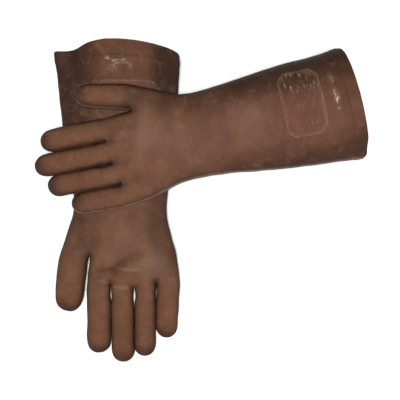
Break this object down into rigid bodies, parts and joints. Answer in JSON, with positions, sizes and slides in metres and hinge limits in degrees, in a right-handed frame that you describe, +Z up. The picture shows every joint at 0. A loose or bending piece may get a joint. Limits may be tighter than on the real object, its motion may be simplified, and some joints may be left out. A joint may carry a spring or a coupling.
{
  "type": "electrical insulating gloves",
  "caption": "Pair of long one-piece rubber insulating gloves with flared gauntlets, one lying across the other, with fingers that curl.",
  "frame": {"origin": "on the floor, under the middle of the pair's bounding box", "axes": "+Z up; +X towards the upper glove's cuff; the lower glove's fingers point along -Y"},
  "size_m": [0.3592, 0.3538, 0.083],
  "materials": {
    "hand_rubber": "dusty matt brown natural rubber",
    "gauntlet_rubber": "satin dark brown natural rubber",
    "cuff_rubber": "satin dark brown natural rubber",
    "label_rubber": "matt worn brown rubber"
  },
  "bodies": {
    "lower_glove": {"lower_hand": "hand_rubber", "lower_gauntlet": "gauntlet_rubber", "lower_cuff_band": "cuff_rubber", "lower_label_patch": "label_rubber"},
    "lower_thumb_base": {"lower_thumb_base": "hand_rubber"},
    "lower_thumb_tip": {"lower_thumb_tip": "hand_rubber"},
    "lower_index_base": {"lower_index_base": "hand_rubber"},
    "lower_index_tip": {"lower_index_tip": "hand_rubber"},
    "lower_middle_base": {"lower_middle_base": "hand_rubber"},
    "lower_middle_tip": {"lower_middle_tip": "hand_rubber"},
    "lower_ring_base": {"lower_ring_base": "hand_rubber"},
    "lower_ring_tip": {"lower_ring_tip": "hand_rubber"},
    "lower_little_base": {"lower_little_base": "hand_rubber"},
    "lower_little_tip": {"lower_little_tip": "hand_rubber"},
    "upper_hand": {"upper_hand": "hand_rubber"},
    "upper_forearm": {"upper_gauntlet": "gauntlet_rubber", "upper_cuff_band": "cuff_rubber", "upper_label_patch": "label_rubber"},
    "upper_thumb_base": {"upper_thumb_base": "hand_rubber"},
    "upper_thumb_tip": {"upper_thumb_tip": "hand_rubber"},
    "upper_index_base": {"upper_index_base": "hand_rubber"},
    "upper_index_tip": {"upper_index_tip": "hand_rubber"},
    "upper_middle_base": {"upper_middle_base": "hand_rubber"},
    "upper_middle_tip": {"upper_middle_tip": "hand_rubber"},
    "upper_ring_base": {"upper_ring_base": "hand_rubber"},
    "upper_ring_tip": {"upper_ring_tip": "hand_rubber"},
    "upper_little_base": {"upper_little_base": "hand_rubber"},
    "upper_little_tip": {"upper_little_tip": "hand_rubber"}
  },
  "joints": [
    {"name": "lower_thumb_knuckle", "type": "hinge", "parent": "lower_glove", "child": "lower_thumb_base", "pos_m": [-0.1456, -0.073, 0.0133], "axis": [-0.9922, 0.1244, 0], "range_deg": [0, 45], "stiffness_Nm_per_rad": 0.2},
    {"name": "lower_thumb_middle_joint", "type": "hinge", "parent": "lower_thumb_base", "child": "lower_thumb_tip", "pos_m": [-0.1487, -0.0978, 0.0126], "axis": [-0.9922, 0.1244, 0], "range_deg": [0, 60], "stiffness_Nm_per_rad": 0.06},
    {"name": "lower_index_knuckle", "type": "hinge", "parent": "lower_glove", "child": "lower_index_base", "pos_m": [-0.1158, -0.1041, 0.0115], "axis": [-0.9999, -0.013, 0], "range_deg": [0, 70], "stiffness_Nm_per_rad": 0.2},
    {"name": "lower_index_middle_joint", "type": "hinge", "parent": "lower_index_base", "child": "lower_index_tip", "pos_m": [-0.1154, -0.1381, 0.0113], "axis": [-0.9999, -0.013, 0], "range_deg": [0, 80], "stiffness_Nm_per_rad": 0.06},
    {"name": "lower_middle_knuckle", "type": "hinge", "parent": "lower_glove", "child": "lower_middle_base", "pos_m": [-0.0889, -0.1071, 0.0115], "axis": [-1, -0.0094, 0], "range_deg": [0, 70], "stiffness_Nm_per_rad": 0.2},
    {"name": "lower_middle_middle_joint", "type": "hinge", "parent": "lower_middle_base", "child": "lower_middle_tip", "pos_m": [-0.0885, -0.1441, 0.0113], "axis": [-1, -0.0094, 0], "range_deg": [0, 80], "stiffness_Nm_per_rad": 0.06},
    {"name": "lower_ring_knuckle", "type": "hinge", "parent": "lower_glove", "child": "lower_ring_base", "pos_m": [-0.0631, -0.1051, 0.0115], "axis": [-1, 0.0075, 0], "range_deg": [0, 70], "stiffness_Nm_per_rad": 0.2},
    {"name": "lower_ring_middle_joint", "type": "hinge", "parent": "lower_ring_base", "child": "lower_ring_tip", "pos_m": [-0.0634, -0.1401, 0.0113], "axis": [-1, 0.0075, 0], "range_deg": [0, 80], "stiffness_Nm_per_rad": 0.06},
    {"name": "lower_little_knuckle", "type": "hinge", "parent": "lower_glove", "child": "lower_little_base", "pos_m": [-0.0376, -0.1001, 0.011], "axis": [-0.9993, 0.0368, 0], "range_deg": [0, 65], "stiffness_Nm_per_rad": 0.2},
    {"name": "lower_little_middle_joint", "type": "hinge", "parent": "lower_little_base", "child": "lower_little_tip", "pos_m": [-0.0385, -0.1251, 0.0108], "axis": [-0.9993, 0.0368, 0], "range_deg": [0, 75], "stiffness_Nm_per_rad": 0.06},
    {"name": "upper_glove_lift", "type": "slide", "parent": "lower_glove", "child": "upper_hand", "axis": [0, 0, 1], "range_m": [0, 0.12]},
    {"name": "upper_wrist_bend", "type": "hinge", "parent": "upper_hand", "child": "upper_forearm", "pos_m": [-0.0077, 0.0756, 0.0547], "axis": [0.2071, -0.9783, 0], "range_deg": [0, 40], "stiffness_Nm_per_rad": 1},
    {"name": "upper_thumb_knuckle", "type": "hinge", "parent": "upper_hand", "child": "upper_thumb_base", "pos_m": [-0.0909, 0.1179, 0.0517], "axis": [0.0279, 0.9996, 0], "range_deg": [0, 45], "stiffness_Nm_per_rad": 0.2},
    {"name": "upper_thumb_middle_joint", "type": "hinge", "parent": "upper_thumb_base", "child": "upper_thumb_tip", "pos_m": [-0.1139, 0.1186, 0.0519], "axis": [0.0279, 0.9996, 0], "range_deg": [0, 60], "stiffness_Nm_per_rad": 0.06},
    {"name": "upper_index_knuckle", "type": "hinge", "parent": "upper_hand", "child": "upper_index_base", "pos_m": [-0.1159, 0.0795, 0.0485], "axis": [-0.1937, 0.9811, 0], "range_deg": [0, 70], "stiffness_Nm_per_rad": 0.2},
    {"name": "upper_index_middle_joint", "type": "hinge", "parent": "upper_index_base", "child": "upper_index_tip", "pos_m": [-0.1482, 0.0731, 0.0471], "axis": [-0.1937, 0.9811, 0], "range_deg": [0, 80], "stiffness_Nm_per_rad": 0.06},
    {"name": "upper_middle_knuckle", "type": "hinge", "parent": "upper_hand", "child": "upper_middle_base", "pos_m": [-0.1131, 0.0545, 0.0485], "axis": [-0.1928, 0.9812, 0], "range_deg": [0, 70], "stiffness_Nm_per_rad": 0.2},
    {"name": "upper_middle_middle_joint", "type": "hinge", "parent": "upper_middle_base", "child": "upper_middle_tip", "pos_m": [-0.1485, 0.0476, 0.047], "axis": [-0.1928, 0.9812, 0], "range_deg": [0, 80], "stiffness_Nm_per_rad": 0.06},
    {"name": "upper_ring_knuckle", "type": "hinge", "parent": "upper_hand", "child": "upper_ring_base", "pos_m": [-0.1056, 0.0311, 0.0485], "axis": [-0.1811, 0.9835, 0], "range_deg": [0, 70], "stiffness_Nm_per_rad": 0.2},
    {"name": "upper_ring_middle_joint", "type": "hinge", "parent": "upper_ring_base", "child": "upper_ring_tip", "pos_m": [-0.1391, 0.025, 0.047], "axis": [-0.1811, 0.9835, 0], "range_deg": [0, 80], "stiffness_Nm_per_rad": 0.06},
    {"name": "upper_little_knuckle", "type": "hinge", "parent": "upper_hand", "child": "upper_little_base", "pos_m": [-0.0948, 0.0088, 0.0484], "axis": [-0.1659, 0.9861, 0], "range_deg": [0, 65], "stiffness_Nm_per_rad": 0.2},
    {"name": "upper_little_middle_joint", "type": "hinge", "parent": "upper_little_base", "child": "upper_little_tip", "pos_m": [-0.1174, 0.005, 0.0474], "axis": [-0.1659, 0.9861, 0], "range_deg": [0, 75], "stiffness_Nm_per_rad": 0.06}
  ]
}
